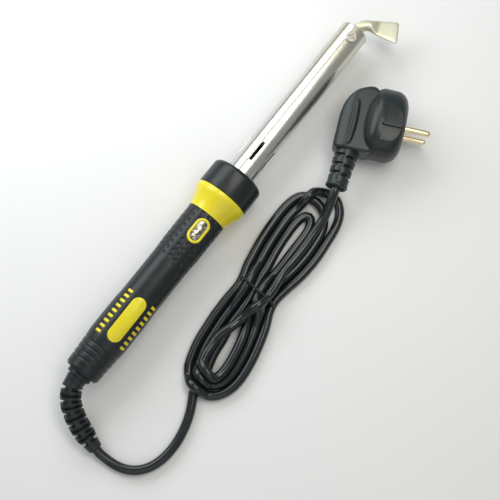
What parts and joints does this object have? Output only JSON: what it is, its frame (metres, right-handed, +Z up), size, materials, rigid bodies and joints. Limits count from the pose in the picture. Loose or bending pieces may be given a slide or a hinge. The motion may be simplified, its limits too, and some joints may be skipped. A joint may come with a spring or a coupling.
{
  "type": "soldering iron",
  "caption": "Mains soldering iron with a bent spade bit, steel barrel, yellow-ringed black handle, boot, and a tied hank of cord ending in an angled moulded plug.",
  "frame": {"origin": "on the supporting surface, under the middle of the iron's box from the rear of the handle to the bit (the cord and plug aside)", "axes": "+X along the iron towards its bit, +Z up, +Y to the left of the bit's direction; the blade bends towards -Y"},
  "size_m": [0.393, 0.117, 0.0416],
  "materials": {
    "bit_copper": "pale copper-coloured plating, satin",
    "screw_steel": "plated steel",
    "barrel_steel": "polished stainless steel",
    "inner_steel": "plain steel",
    "mica": "mica sheet",
    "heater_ribbon": "oxidised resistance ribbon",
    "ceramic": "unglazed white ceramic",
    "black_plastic": "satin black moulding",
    "yellow_plastic": "glossy yellow moulding",
    "badge_silver": "satin metal foil",
    "brass": "bright brass",
    "lead_sleeve": "glass-fibre sleeving",
    "core_sleeve": "insulated core",
    "cord_rubber": "glossy black cord sheath",
    "clamp_plastic": "black nylon",
    "boot_rubber": "satin black rubber",
    "plug_rubber": "satin black moulded plug",
    "tie_wire": "plastic-covered wire tie"
  },
  "bodies": {
    "iron": {"barrel": "barrel_steel", "nose_bush": "inner_steel", "core_tube": "inner_steel", "inner_mica": "mica", "heater_winding": "heater_ribbon", "outer_mica": "mica", "front_ceramic": "ceramic", "rear_ceramic": "ceramic", "barrel_flange": "inner_steel", "flange_screws": "screw_steel", "front_collar": "black_plastic", "yellow_ring": "yellow_plastic", "handle_body": "black_plastic", "badge_frame": "yellow_plastic", "badge_plate": "badge_silver", "label_plate": "yellow_plastic", "grip_bars": "yellow_plastic", "terminal_block": "ceramic", "terminal_sleeves": "brass", "terminal_screws": "screw_steel", "element_leads": "lead_sleeve", "cord_cores": "core_sleeve", "cord_sheath": "cord_rubber", "clamp_saddle": "clamp_plastic", "clamp_bar": "clamp_plastic", "clamp_screws": "screw_steel", "cord_boot": "boot_rubber", "cord_lead": "cord_rubber", "cord_hank": "cord_rubber", "cord_tail": "cord_rubber", "hank_tie": "tie_wire", "plug_body": "plug_rubber", "plug_pins": "brass", "pin_carrier": "clamp_plastic"},
    "bit": {"soldering_bit": "bit_copper"},
    "screw": {"set_screw": "screw_steel"}
  },
  "joints": [
    {"name": "bit_slide", "type": "slide", "parent": "iron", "child": "bit", "axis": [1, 0, 0], "range_m": [0, 0.1]},
    {"name": "screw_turn", "type": "hinge", "parent": "iron", "child": "screw", "pos_m": [0.13946, 0.00259, 0.0317], "axis": [0, -0.1908, 0.9816], "range_deg": [0, 1440]}
  ]
}
